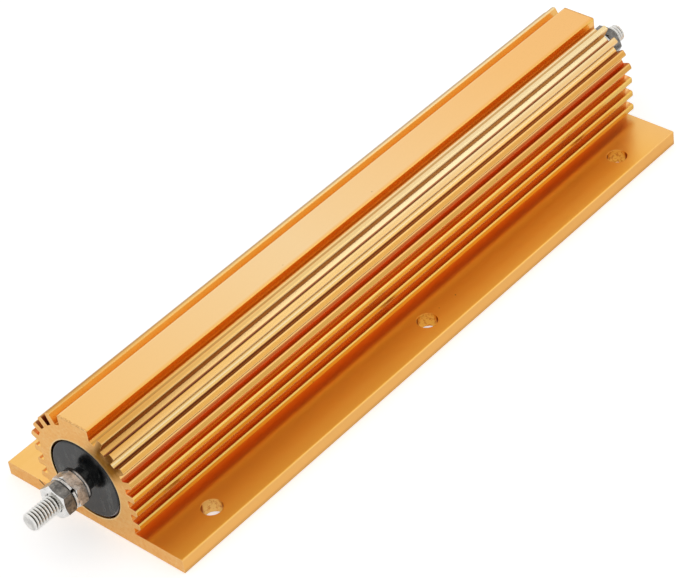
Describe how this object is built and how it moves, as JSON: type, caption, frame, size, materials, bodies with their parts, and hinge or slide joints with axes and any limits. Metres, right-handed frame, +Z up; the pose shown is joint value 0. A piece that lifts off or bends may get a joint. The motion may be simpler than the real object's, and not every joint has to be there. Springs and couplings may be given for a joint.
{
  "type": "aluminium housed resistor",
  "caption": "Finned aluminium extrusion on a flat drilled mounting plate, holding a potted wire-wound core with a threaded terminal stud at each end.",
  "frame": {"origin": "middle of the mounting plate's underside, under the middle of the extrusion", "axes": "+X along the extrusion and both terminals, +Y across the mounting plate, +Z up from the mounting face"},
  "size_m": [0.1826, 0.0474, 0.0258],
  "materials": {
    "anodised_gold": "satin gold anodised extrusion",
    "compound": "matt set filling compound",
    "ceramic": "unglazed ceramic rod",
    "resistance_wire": "dull alloy wire",
    "cap_steel": "pressed steel",
    "disc_plastic": "dark moulded plastic",
    "terminal_steel": "bright nickel plated steel"
  },
  "bodies": {
    "root": {"housing": "anodised_gold", "filling_compound": "compound", "ceramic_core": "ceramic", "resistance_winding": "resistance_wire", "front_core_cap": "cap_steel", "rear_core_cap": "cap_steel", "front_end_disc": "disc_plastic", "rear_end_disc": "disc_plastic", "front_terminal_stud": "terminal_steel", "rear_terminal_stud": "terminal_steel", "front_seat_washer": "terminal_steel", "rear_seat_washer": "terminal_steel", "front_clamp_nut": "terminal_steel", "rear_clamp_nut": "terminal_steel", "front_lock_washer": "terminal_steel", "rear_lock_washer": "terminal_steel", "front_terminal_nut": "terminal_steel", "rear_terminal_nut": "terminal_steel"}
  },
  "joints": []
}
